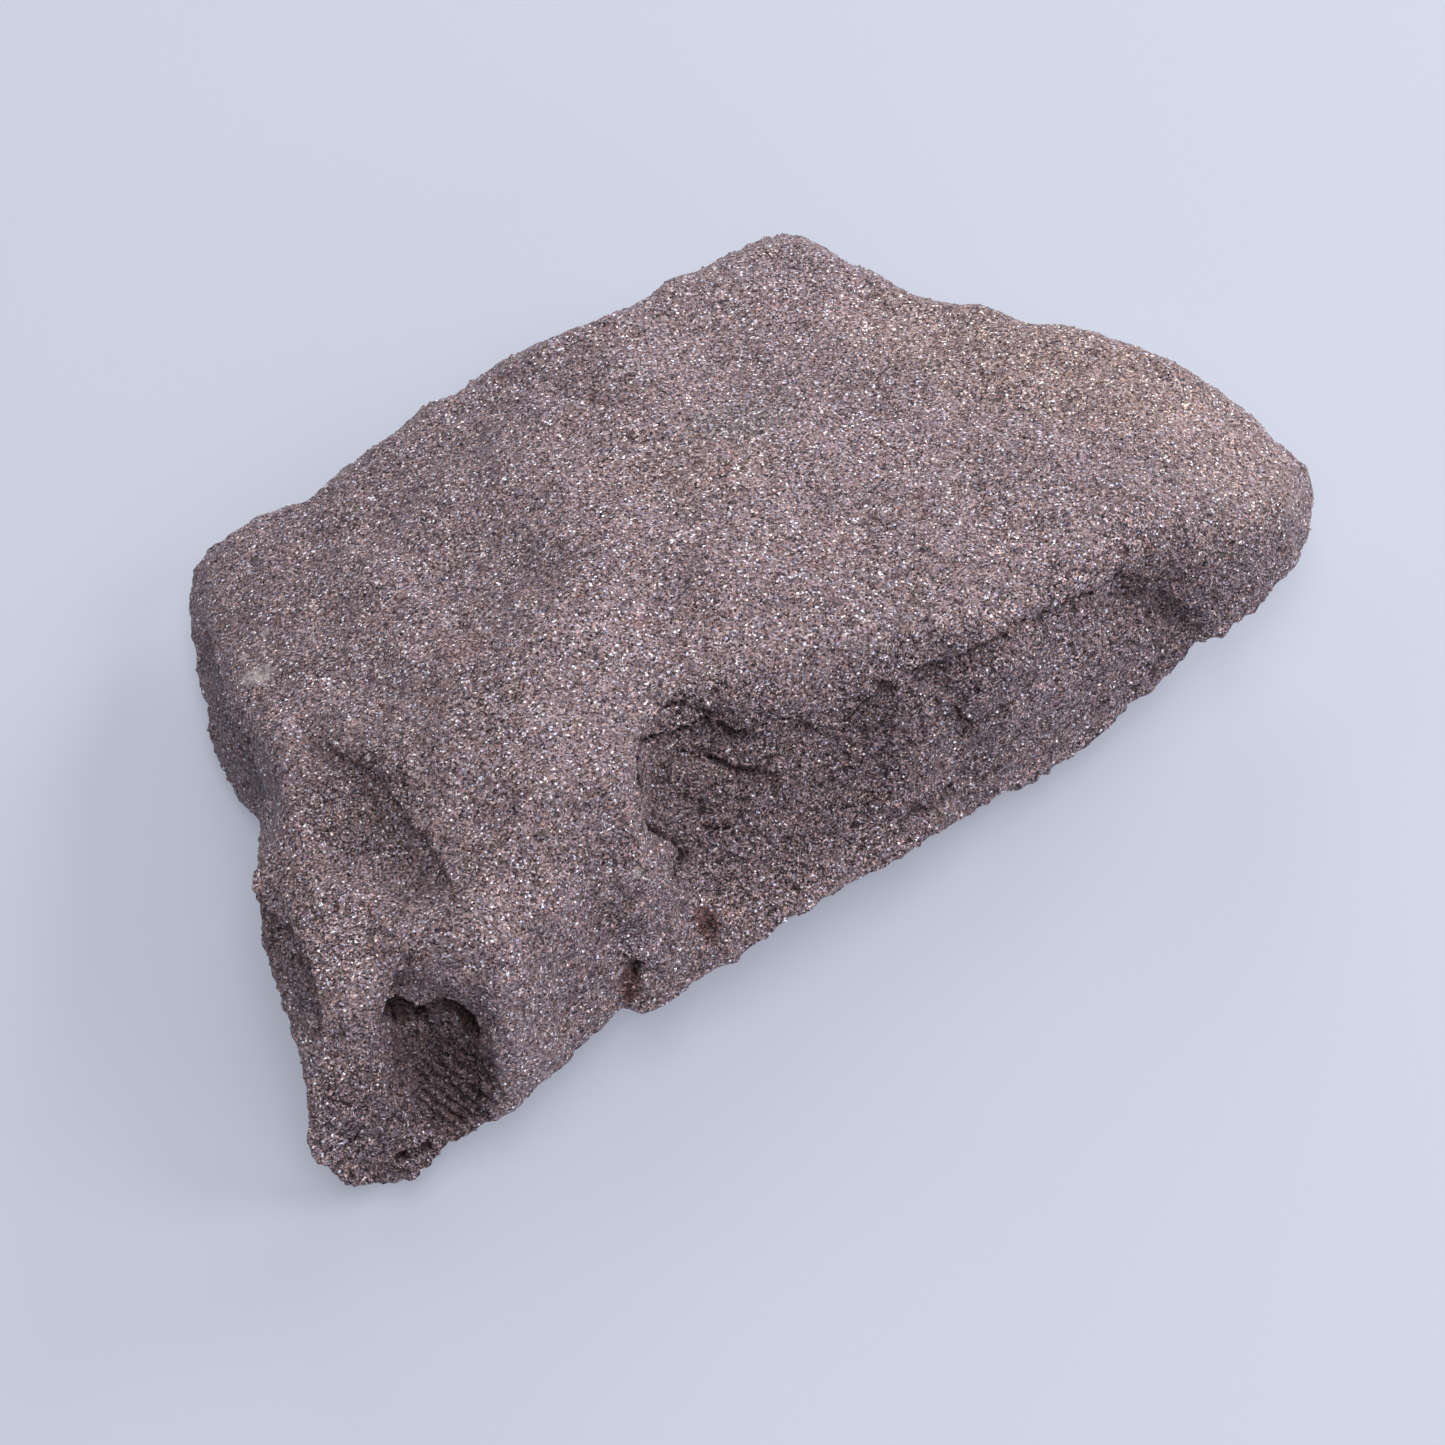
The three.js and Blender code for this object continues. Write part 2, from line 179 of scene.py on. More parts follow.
# Open cracks and grooves: each is width wide and depth deep, and closes over ends at each end.
CRACKS = {
    "scar_edge": {"width": 0.8, "depth": 0.8, "ends": 1.2},
    "scar_rim": {"width": 0.7, "depth": 1.0, "ends": 2},
    "upper_rim": {"width": 0.55, "depth": 0.7, "ends": 1.5},
    "right_rim": {"width": 0.5, "depth": 0.6, "ends": 1.5},
    "bed_a": {"width": 0.5, "depth": 0.7, "ends": 1.5},
    "bed_b": {"width": 0.5, "depth": 0.5, "ends": 1.5},
    "bed_c": {"width": 0.5, "depth": 0.6, "ends": 0.8},
    "brink": {"width": 0.6, "depth": 0.6, "ends": 5},
    "low_groove": {"width": 1.8, "depth": 0.5, "ends": 3},
    "end_groove": {"width": 2.8, "depth": 0.45, "ends": 4},
    "lump_foot": {"width": 0.6, "depth": 0.7, "ends": 1},
    "left_lip": {"width": 0.6, "depth": 0.4, "ends": 2},
    "left_pocket": {"width": 2.1, "depth": 1.5, "ends": 0.8},
    "right_pocket": {"width": 2.3, "depth": 1.6, "ends": 0.8},
    "scoop_foot": {"width": 1.2, "depth": 0.9, "ends": 1.2},
    "tip_crack": {"width": 0.6, "depth": 0.9, "ends": 0.8},
    "notch": {"width": 1.3, "depth": 1.5, "ends": 0.5},
}

CRACK_END_WIDTH = 0.4  # how wide a crack still is at its ends, as a share of its width
CRACK_WALL = (0.35, 1.5)  # the walls rise between these shares of half the width
CRACK_MARGIN = 1  # points are compared with a crack's line up to this far beyond its width
# Cracks get painted shade, darker the deeper they are.
CRACK_SHADE = 1.3  # how much darker it is for each millimetre of a crack's depth

# Pits, or low bumps where depth is negative: place in plan, radius and depth.
PITS = [
    {"place": (40.9, 4.7), "radius": 1.1, "depth": 1.1},
    {"place": (45, 7.2), "radius": 2.2, "depth": -0.8},
    {"place": (26.6, -6.1), "radius": 0.6, "depth": 0.7},
    {"place": (21.7, -8.1), "radius": 1.4, "depth": -0.6},
    {"place": (34.6, -2.7), "radius": 0.9, "depth": 0.4},
    {"place": (-28.6, -1.9), "radius": 0.7, "depth": 0.8},
    {"place": (-19.6, 28.9), "radius": 1.2, "depth": 0.6},
    {"place": (-10.5, 38.4), "radius": 1.0, "depth": 0.6},
    {"place": (-25.9, 32.5), "radius": 1.0, "depth": 0.5},
    {"place": (-22.6, -30.8), "radius": 2.2, "depth": 0.6},
    {"place": (18.2, -7.4), "radius": 1.3, "depth": 0.7},
    {"place": (13.2, -9.3), "radius": 1.0, "depth": 0.6},
    {"place": (29.6, -1.8), "radius": 1.1, "depth": 0.6},
    {"place": (36.6, 2.6), "radius": 1.2, "depth": 0.6},
    {"place": (-5.4, -28.4), "radius": 0.7, "depth": 0.6},
    {"place": (-2.5, -29.5), "radius": 0.9, "depth": -0.6},
]

# Thin beds that show as ribs across the scoop: the middle, how far they reach, the share of that
# where they are at their full height, which way they run in plan, in degrees from +X, their spacing,
# how much of the breaks' wobble they have, how far they rise and the painted shade between them.
RIBS = {"middle": (-28.4, -44, 9.6), "reach": 5.6, "full": 0.6, "azimuth": -31, "spacing": 0.85,
        "wobble": 0.35, "rise": 0.25, "shade": 0.6}

# Rough ground, where the stone broke across its beds: place in plan, radius and how much rougher.
ROUGH_GROUND = [
    {"place": (-1, -18), "radius": 11, "extra": 1.4},
    {"place": (12, -14), "radius": 8, "extra": 1.1},
    {"place": (15, -9), "radius": 5, "extra": 1.2},
    {"place": (24, -7), "radius": 8, "extra": 0.9},
    {"place": (32, -1), "radius": 6, "extra": 1.0},
    {"place": (41, 5), "radius": 8, "extra": 1.1},
    {"place": (51, 9), "radius": 7, "extra": 0.8},
    {"place": (-8, -28), "radius": 9, "extra": 0.7},
    {"place": (-18, -33), "radius": 9, "extra": 0.5},
    {"place": (-31, -45), "radius": 7, "extra": 0.9},
    {"place": (-36, -50), "radius": 7, "extra": 1.1},
    {"place": (-52, -6), "radius": 7, "extra": 0.5},
    {"place": (-38, -21), "radius": 8, "extra": 0.7},
    {"place": (-42, -34), "radius": 8, "extra": 0.6},
]

# Roughness at every scale: the size of the lumps, how far they rise on smooth ground, and how much
# of the extra roughness they take.
ROUGHNESS = [(4.6, 0.17, 0.3), (2.2, 0.15, 0.9), (1.2, 0.13, 1.5), (0.7, 0.08, 2.4)]
ROUGH_FADE = (0.6, 1.15)  # a patch of rough ground fades out between these shares of its radius

# Sharp ridges on rough ground, where a noise is 0: their size, how high their tops are in units of
# the noise, and how far they rise for each unit.
RIDGES = {"size": (3.1, 3.1, 1.9), "top": 0.5, "rise": 0.2}

# Thin beds on steep faces: how far they run, how thick they are, the size of the noise at which they
# stand out or lie back fully, and how far they rise from one to the other.
BEDS = {"run": 9, "thickness": 1.5, "full": 0.35, "rise": 0.25}

# Steepness goes from 0 where the surface is level to 1 where it is upright. The extra roughness of
# steep faces and their beds each come in between two values of it.
STEEPNESS = {"rough": (0.25, 0.8), "beds": (0.15, 0.7)}
STEEP_ROUGHNESS = 0.6

# Patterns that share a noise are read this far apart: in millimetres, and the roughness in sizes of
# its lumps.
APART = {"roughness": 31, "ridges": 11, "closed": 21}

# ----------------------------------------------------------------------------
# Grains
# ----------------------------------------------------------------------------

GRAIN_COUNT = 24000  # grains of each kind, at 8 triangles a grain
GRAIN_RADIUS = 0.13  # half of the grains are smaller
GRAIN_SPREAD = 0.36  # of the logarithm of the radius
GRAIN_LIMITS = (0.08, 0.32)  # the smallest radius and the largest
GRAIN_CORNERS = (0.75, 1.25)  # how far its corners are from its middle, in radii
GRAIN_SINK = 0.3  # of its radius, below the surface
RESTING_HEIGHT = 0.1  # the surface below this is the resting patch, which has no grains

# A grain is an octahedron: its corners at a distance of 1, and its faces.
CORNERS = np.array([[1, 0, 0], [-1, 0, 0], [0, 1, 0], [0, -1, 0], [0, 0, 1], [0, 0, -1]], float)
FACES = np.array([[0, 2, 4], [2, 1, 4], [1, 3, 4], [3, 0, 4], [2, 0, 5], [1, 2, 5], [3, 1, 5],
                  [0, 3, 5]])

# The underside, which faces up less than facing, has this share of the grains that an equal area of
# the upper surface has. The share lost in cracks comes in as their dark goes through fade.
UNDERSIDE_GRAINS = {"facing": -0.1, "share": 0.3}
CRACK_GRAINS = {"fade": (0.6, 0.8), "lost": 0.85}

# Smooth spots with no grains.
CLAY_FLAKE = (-4.4, -27.6, 12.2)
NOTCH_SIDE = (-11.9, -33.6, 11.2)
QUARTZ_PATCH = (-49.2, -2.3, 18)
BARE_SPOTS = [
    {"place": CLAY_FLAKE, "radius": 1.4},
    {"place": NOTCH_SIDE, "radius": 1.0},
    {"place": QUARTZ_PATCH, "radius": 1.5},
]

# ----------------------------------------------------------------------------
# Colours: linear red, green and blue
# ----------------------------------------------------------------------------

# The stone between the grains, from the darkest grain-sized spots to the palest. The palest,
# bluish white spots are partly pale quartz and partly painted glints.
SPECKLE_AND_GLINTS = [
    (0.00, (0.022, 0.014, 0.018)),
    (0.10, (0.065, 0.042, 0.050)),
    (0.30, (0.155, 0.107, 0.118)),
    (0.60, (0.245, 0.177, 0.191)),
    (0.86, (0.350, 0.268, 0.290)),
    (0.955, (0.470, 0.390, 0.425)),
    (0.975, (0.840, 0.840, 0.960)),
    (1.00, (0.960, 0.970, 1.000)),
]
GRAIN_KINDS = {
    "quartz_grains": {"dark": (0.25, 0.19, 0.21), "middle": (0.44, 0.37, 0.41),
                      "pale": (0.95, 0.95, 1.0), "roughness": 0.14},
    "feldspar_grains": {"dark": (0.21, 0.15, 0.155), "middle": (0.34, 0.25, 0.26),
                        "pale": (0.55, 0.44, 0.46), "roughness": 0.35},
    "rock_grains": {"dark": (0.045, 0.031, 0.036), "middle": (0.15, 0.108, 0.12),
                    "pale": (0.22, 0.16, 0.175), "roughness": 0.3},
    "coated_grains": {"dark": (0.13, 0.08, 0.083), "middle": (0.24, 0.165, 0.17),
                      "pale": (0.34, 0.235, 0.235), "roughness": 0.5},
}

STAIN_FADE = (0.55, 1.15)  # a stain fades out between these shares of its radii

# Stains and painted shade in the upper surface: place in plan, radii, turn in degrees and strength.
STAINS_AND_SHADE = {
    "tan": [
        {"place": (30, 31), "radii": (24, 9), "turn": -22, "strength": 0.8},
        {"place": (46, 22), "radii": (13, 8), "turn": -40, "strength": 0.5},
        {"place": (-6, 16), "radii": (10, 5), "turn": 10, "strength": 0.35},
    ],
    "green": [{"place": (-2, 22.8), "radii": (6, 3), "turn": 5, "strength": 0.7}],
    "pale": [
        {"place": QUARTZ_PATCH[:2], "radii": (1.9, 1.3), "turn": 0, "strength": 1},
        {"place": (-48.8, 3.7), "radii": (0.5, 0.5), "turn": 0, "strength": 1},
        {"place": (-43.9, 1.1), "radii": (0.55, 0.5), "turn": 0, "strength": 1},
        {"place": (-51, 0.9), "radii": (0.5, 0.5), "turn": 0, "strength": 0.8},
        {"place": (-11.2, -28), "radii": (0.5, 0.4), "turn": 0, "strength": 1},
    ],
    "clay": [
        {"place": (-28.3, -4.6), "radii": (3.2, 2.2), "turn": 0, "strength": 0.35},
        {"place": (-11, -2.9), "radii": (1.1, 0.9), "turn": 0, "strength": 0.8},
        {"place": (6.3, 3.3), "radii": (0.9, 0.7), "turn": 0, "strength": 0.7},
        {"place": (16.6, 12.2), "radii": (1, 0.8), "turn": 0, "strength": 0.6},
        {"place": (39.2, 7.1), "radii": (0.8, 0.8), "turn": 0, "strength": 0.6},
        {"place": CLAY_FLAKE[:2], "radii": (1.7, 1.1), "turn": -50, "strength": 1.5},
        {"place": NOTCH_SIDE[:2], "radii": (1.4, 0.9), "turn": 50, "strength": 1.4},
    ],
    # Darker ground: partly ground that broke later than the rest, with less of the pale coating, and
    # partly painted shade on the scar, the scoop, the tip, the end groove and the lower left slope.
    "fresh_and_shade": [
        {"place": (-1.5, -17.5), "radii": (11, 6.5), "turn": 8, "strength": 0.5},
        {"place": (11, -13), "radii": (8, 4.5), "turn": 20, "strength": 0.5},
        {"place": (-30, -43.8), "radii": (6, 4.8), "turn": -20, "strength": 1.3},
        {"place": (-34.5, -48.5), "radii": (6, 4), "turn": -20, "strength": 0.5},
        {"place": (41, 4.8), "radii": (6, 3.2), "turn": 20, "strength": 0.45},
        {"place": (-40.5, -19), "radii": (9, 5.5), "turn": -50, "strength": 0.3},
        {"place": CLAY_FLAKE[:2], "radii": (1.7, 1.1), "turn": -50, "strength": 1.5},
        {"place": NOTCH_SIDE[:2], "radii": (1.4, 0.9), "turn": 50, "strength": 1.4},
    ],
}

# What the stains and the painted shade multiply the colour by, where their strength is 1.
# Pale stains mix in a colour.
STAIN_AND_SHADE_TINTS = {
    "tan": (1.14, 1.12, 0.98),
    "green": (0.94, 1.05, 1.01),
    "clay": (0.94, 0.69, 0.64),
    "fresh_and_shade": (0.50, 0.45, 0.46),
}
PALE_PATCH = (0.55, 0.48, 0.49)
PALE_SHARE = 0.75  # of this colour, where a pale stain is strongest

# Stains are patchy, the stone is mottled, and patches of a few grains differ in hue, from bluish grey
# to rusty.
STAIN_PATCHES = {"size": 2.2, "detail": 3, "roughness": 0.6, "low": 0.3, "high": 1.7}
MOTTLE = {"size": 9, "detail": 3, "low": 0.9, "high": 1.4}
HUES = [(0.34, (0.79, 0.92, 1.14)), (0.5, (0.97, 1, 1)), (0.66, (1.10, 0.95, 0.88))]
HUE_PATCHES = {"size": 0.34, "detail": 2, "roughness": 0.6}

# Dark and pale grit: its share on smooth ground, and how much more for each unit of extra roughness.
GRIT = {"size": 0.22, "detail": 2, "roughness": 0.65, "low": 0.05, "high": 1.95, "start": 0.37,
        "stop": 0.63}
GRIT_SHARE = {"smooth": 0.32, "rough": 0.65}

# What is left of the colour under the fullest painted shade: in the deepest cracks, below steps
# and between ribs, and in spots of painted shade on rough ground.
PAINTED_SHADE_TINT = (0.18, 0.12, 0.125)
PAINTED_SHADE_SPOTS = {"size": 0.8, "detail": 3, "roughness": 0.65, "low": 0, "high": 1, "start": 0.44,
              "stop": 0.37}

# ----------------------------------------------------------------------------
# Finishes
# ----------------------------------------------------------------------------

# The stone between the grains, in grain-sized cells. Its relief is inverted: the cells' middles and
# the noise's low places stand out.
STONE_CELL = 0.2
STONE_TILT = 0.55  # how far the cells' faces lean
STONE_GLOSS = (0.25, 0.85)  # the roughness of the glossiest and the dullest cells
STONE_BUMP = {"strength": 0.8, "depth": 0.12, "inverted": True}
CELL_HEIGHT = 0.5  # in the bump, as a share of its depth
LUMP_HEIGHT = 0.6  # likewise
LUMPS = {"size": 0.9, "detail": 4, "roughness": 0.65}
STONE_IOR = 1.5

# Larger cells differ in tint, from bluish to reddish.
TINT_CELL = 0.5
TINTS = [(0.0, (0.88, 0.83, 0.92)), (0.5, (1, 0.97, 0.97)), (1.0, (1.14, 1.03, 0.95))]

# The grains, in smaller cells.
GRAIN_CELL = 0.12
GRAIN_SPOTS = (0.8, 1.15)  # how dark and how pale a grain's spots are
GRAIN_BUMP = {"strength": 0.4, "depth": 0.03}
GRAIN_DULLEST = 0.25  # added to the kind's roughness in its dullest spots
GRAIN_IOR = 1.54
MIDDLE_TONE = 0.85  # the share of a kind's grains that are darker than its middle colour


# ----------------------------------------------------------------------------
# Noise and blending
# ----------------------------------------------------------------------------


class Noise:
    """Smooth noise in space, between about -1 and 1: random slopes at the points of a lattice,
    blended between them. Its seed shuffles the lattice."""

    COUNT = 256  # how many slopes there are
    GAIN = 1.6  # brings the blended slopes to between about -1 and 1

    def __init__(self, seed):
        rng = np.random.default_rng(seed)
        self.order = rng.permutation(self.COUNT)
        slopes = rng.normal(size=(self.COUNT, 3))
        self.slopes = slopes / np.linalg.norm(slopes, axis=1, keepdims=True)

    def __call__(self, points, size):
        spots = points / np.asarray(size, float)
        cells = np.floor(spots).astype(int)
        part = spots - cells
        fade = part**3 * (part * (part * 6 - 15) + 10)
        total = np.zeros(len(points))
        for corner in itertools.product((0, 1), repeat=3):
            slope = 0
            for step in (cells + corner).T:
                slope = self.order[(slope + step) % self.COUNT]
            weight = np.where(corner, fade, 1 - fade).prod(axis=1)
            total += weight * ((part - corner) * self.slopes[slope]).sum(axis=1)
        return total * self.GAIN


def smoothstep(values, low, high):
    share = np.clip((values - low) / (high - low), 0, 1)
    return share * share * (3 - 2 * share)


def unit(vectors):
    tiny = 1e-12  # keeps a vector of no length from being divided by 0
    return vectors / np.maximum(np.linalg.norm(vectors, axis=-1, keepdims=True), tiny)


# ----------------------------------------------------------------------------
# The surface: points, their normals and triangles
# ----------------------------------------------------------------------------


def solid_surface(piece):
    """The points and triangles of a node, in millimetres, with points that lie together joined."""
    mesh = piece.data
    mesh.calc_loop_triangles()
    points = np.zeros(len(mesh.vertices) * 3)
    mesh.vertices.foreach_get("co", points)
    corners = np.zeros(len(mesh.loop_triangles) * 3, int)
    mesh.loop_triangles.foreach_get("vertices", corners)
    places = np.round(points.reshape(-1, 3) / MM, JOINED_DECIMALS)
    joined, which = np.unique(places, axis=0, return_inverse=True)
    return joined, which.reshape(-1)[corners].reshape(-1, 3)


def camera_axes():
    """The camera's place, and the directions to its right, up and back."""
    tilt = math.radians(CAMERA["elevation"])
    right = np.array([1.0, 0, 0])
    up = np.array([0, math.sin(tilt), math.cos(tilt)])
    back = np.array([0, -math.cos(tilt), math.sin(tilt)])
    return CAMERA["target"] + CAMERA["distance"] * back, right, up, back


def lines_on_stone(points, triangles):
    """Where each of LINES runs on the solid."""
    solid = BVHTree.FromPolygons(points.tolist(), triangles.tolist())
    eye, right, up, back = camera_axes()
    pixel = SENSOR / CAMERA["lens"] / PHOTO_WIDTH  # its width at a distance of 1
    lines = {}
    for name, spots in LINES.items():
        across, down = (np.array(spots) - PHOTO_WIDTH / 2).T[:, :, None] * pixel
        rays = across * right - down * up - back
        lines[name] = np.array([solid.ray_cast(Vector(eye), Vector(ray))[0] for ray in rays])
    return lines


def point_normals(points, triangles, rounds=0):
    """Each point's normal from the triangles round it, averaged with its neighbours' rounds times."""
    a, b, c = (points[triangles[:, i]] for i in range(3))
    facing = np.cross(b - a, c - a)
    for _ in range(rounds + 1):
        normals = np.zeros_like(points)
        for corner in range(3):
            np.add.at(normals, triangles[:, corner], facing)
        normals = unit(normals)
        facing = normals[triangles].sum(axis=1)
    return normals


def cut_triangles(points, normals, triangles, carried, lines):
    """Halves every edge that is longer than longest_edge allows, round by round. New points bulge out
    to the curve that the normals at the edge's two ends suggest, and take the mean of carried."""
    for _ in range(CUT_ROUNDS):
        sides = np.concatenate([triangles[:, [0, 1]], triangles[:, [1, 2]], triangles[:, [2, 0]]])
        sides = np.sort(sides, axis=1)
        keys, first, which = np.unique(sides[:, 0] * len(points) + sides[:, 1], return_index=True,
                                       return_inverse=True)
        edges = sides[first]
        start, end = points[edges[:, 0]], points[edges[:, 1]]
        middle = (start + end) / 2
        facing = unit(normals[edges].sum(axis=1))
        halved = np.linalg.norm(end - start, axis=1) > longest_edge(middle, facing, lines)
        middle = middle[halved]
        ends = edges[halved]
        bulge = np.zeros_like(middle)
        for side in range(2):
            normal = normals[ends[:, side]]
            bulge += ((points[ends[:, side]] - middle) * normal).sum(axis=1, keepdims=True) * normal
        new_points = middle + ROUNDING / 2 * bulge
        number = np.full(len(keys), -1)
        number[halved] = len(points) + np.arange(halved.sum())
        points = np.concatenate([points, new_points])
        normals = np.concatenate([normals, facing[halved]])
        carried = np.concatenate([carried, carried[ends].mean(axis=1)])
        triangles = split(triangles, number[which.reshape(3, -1).T])
    return points, triangles, unit(carried)


def split(triangles, halves):
    """Splits triangles at the points that halve their sides, where halves holds -1 for a whole side.
    Side i runs from corner i to the next."""
    kept = []
    count = (halves >= 0).sum(axis=1)
    kept.append(triangles[count == 0])
    for turn in range(3):
        a, b, c = (triangles[:, (turn + i) % 3] for i in range(3))
        ab, bc, ca = (halves[:, (turn + i) % 3] for i in range(3))
        one = (count == 1) & (ab >= 0)
        kept += [np.stack([a, ab, c], 1)[one], np.stack([ab, b, c], 1)[one]]
        two = (count == 2) & (ca < 0)
        kept += [np.stack([ab, b, bc], 1)[two], np.stack([a, ab, bc], 1)[two]]
        kept.append(np.stack([a, bc, c], 1)[two])
    three = count == 3
    a, b, c = triangles[three].T
    ab, bc, ca = halves[three].T
    kept += [np.stack([a, ab, ca], 1), np.stack([ab, b, bc], 1)]
    kept += [np.stack([ca, bc, c], 1), np.stack([ab, bc, ca], 1)]
    return np.concatenate(kept)


# ----------------------------------------------------------------------------
# Relief
# ----------------------------------------------------------------------------


def line_place(points, normals, line, reach):
    """For each point within reach of a line: its distance to it along the surface, which is positive
    on the line's right, and how far along the line the nearest place is. Then the line's length."""
    inside = (points > line.min(axis=0) - reach) & (points < line.max(axis=0) + reach)
    near = np.flatnonzero(inside.all(axis=1))
    spots, ups = points[near], normals[near]
    nearest = np.full(len(near), np.inf)
    place = np.zeros(len(near))
    travelled = 0.0
    for start, end in zip(line[:-1], line[1:]):
        run = end - start
        length = np.linalg.norm(run)
        offset = spots - start
        share = np.clip(offset @ run / length**2, 0, 1)
        away = offset - share[:, None] * run
        above = (away * ups).sum(axis=1)
        away = np.linalg.norm(away - above[:, None] * ups, axis=1)
        right = (np.cross(offset, run) * ups).sum(axis=1)
        nearer = (away < np.abs(nearest) - LINE_TIE) & (np.abs(above) < LINE_DEPTH)
        nearest[nearer] = (np.where(right > 0, 1, -1) * away)[nearer]
        place[nearer] = (travelled + share * length)[nearer]
        travelled += length
    distance = np.full(len(points), np.inf)
    along = np.zeros(len(points))
    distance[near], along[near] = nearest, place
    return distance, along, travelled


def near_break(points, normals, reach, lines):
    """Which points are within reach of these lines."""
    near = np.zeros(len(points), bool)
    for line in lines:
        distance = line_place(points, normals, line, reach)[0]
        near |= np.abs(distance) < reach
    return near


def end_fade(along, length, ends):
    return smoothstep(np.minimum(along, length - along), 0, ends)


def step_relief(points, normals, wobble, lines):
    """How far the steps move the surface, and how much painted shade they leave on the fallen side."""
    relief = np.zeros(len(points))
    shade = np.zeros(len(points))
    for name, step in STEPS.items():
        distance, along, length = line_place(points, normals, lines[name], STEP_REACH)
        distance = distance + wobble
        wall = smoothstep(distance, 0, step["wall"])
        back = np.exp(-np.maximum(distance, 0) / step["run"])
        back = back * (1 - smoothstep(distance, STEP_REACH / 2, STEP_REACH))
        fallen = wall * back * end_fade(along, length, step["ends"])
        relief -= step["drop"] * fallen
        shade = np.maximum(shade, step["shade"] * fallen)
    return relief, shade


def crack_depth(points, normals, wobble, lines):
    depth = np.zeros(len(points))
    for name, crack in CRACKS.items():
        reach = crack["width"] + CRACK_MARGIN
        distance, along, length = line_place(points, normals, lines[name], reach)
        open_share = end_fade(along, length, crack["ends"])
        half = crack["width"] / 2 * (CRACK_END_WIDTH + (1 - CRACK_END_WIDTH) * open_share)
        foot, top = (half * share for share in CRACK_WALL)
        across = 1 - smoothstep(np.abs(distance + wobble), foot, top)
        depth = np.maximum(depth, crack["depth"] * across * open_share)
    return depth


def pit_relief(points):
    relief = np.zeros(len(points))
    for pit in PITS:
        away = np.linalg.norm(points[:, :2] - pit["place"], axis=1) / pit["radius"]
        relief -= pit["depth"] * np.exp(-(away**2))
    return relief


def rib_relief(points, wobble):
    """Ribs along the scoop, thin beds cut by its slope: 1 on their tops and -1 between them."""
    offset = points - RIBS["middle"]
    turn = math.radians(RIBS["azimuth"])
    across = offset[:, 1] * math.cos(turn) - offset[:, 0] * math.sin(turn) + wobble
    wave = np.sin(across * 2 * math.pi / RIBS["spacing"])
    full = RIBS["reach"] * RIBS["full"]
    return wave * (1 - smoothstep(np.linalg.norm(offset, axis=1), full, RIBS["reach"]))


def extra_roughness(points):
    extra = np.zeros(len(points))
    for patch in ROUGH_GROUND:
        away = np.linalg.norm(points[:, :2] - patch["place"], axis=1) / patch["radius"]
        extra = np.maximum(extra, patch["extra"] * (1 - smoothstep(away, *ROUGH_FADE)))
    return extra


def fine_relief(points, normals):
    """How far the roughness, the ridges and the beds move the surface."""
    noise = Noise(SEED)
    steepness = 1 - np.abs(normals[:, 2])
    extra = extra_roughness(points) + STEEP_ROUGHNESS * smoothstep(steepness, *STEEPNESS["rough"])
    relief = np.zeros(len(points))
    for size, rise, share in ROUGHNESS:
        lumps = noise(points + size * APART["roughness"], size)
        relief += rise * (1 + share * extra) * lumps
    ridges = RIDGES["top"] - np.abs(noise(points + APART["ridges"], RIDGES["size"]))
    relief += RIDGES["rise"] * extra * ridges
    beds = noise(points, (BEDS["run"], BEDS["run"], BEDS["thickness"]))
    beds = smoothstep(beds, -BEDS["full"], BEDS["full"]) - 0.5
    return relief + BEDS["rise"] * beds * smoothstep(steepness, *STEEPNESS["beds"])


def longest_edge(middle, facing, lines):
    """How long an edge of the surface may be at each middle."""
    upper = facing[:, 2] > UNDERSIDE_FACING
    limit = np.where(upper, LONGEST_EDGE["top"], LONGEST_EDGE["underside"])
    limit[upper & (extra_roughness(middle) > ROUGHEST)] = LONGEST_EDGE["rough"]
    ribbed = np.linalg.norm(middle - RIBS["middle"], axis=1) < RIBS["reach"]
    limit[ribbed & upper] = LONGEST_EDGE["ribs"]
    for kind, breaks in (("steps", STEPS), ("cracks", CRACKS)):
        near = np.zeros(len(middle), bool)
        places = [lines[name] for name in breaks]
        near[upper] = near_break(middle[upper], facing[upper], REACH[kind], places)
        limit[near] = np.minimum(limit[near], LONGEST_EDGE[kind])
    return limit


def stain_strength(points, kind):
    strength = np.zeros(len(points))
    for stain in STAINS_AND_SHADE[kind]:
        turn = math.radians(stain["turn"])
        offset = points[:, :2] - stain["place"]
        along = offset @ (math.cos(turn), math.sin(turn)) / stain["radii"][0]
        across = offset @ (-math.sin(turn), math.cos(turn)) / stain["radii"][1]
        fade = 1 - smoothstep(np.hypot(along, across), *STAIN_FADE)
        strength = np.maximum(strength, stain["strength"] * fade)
    return strength


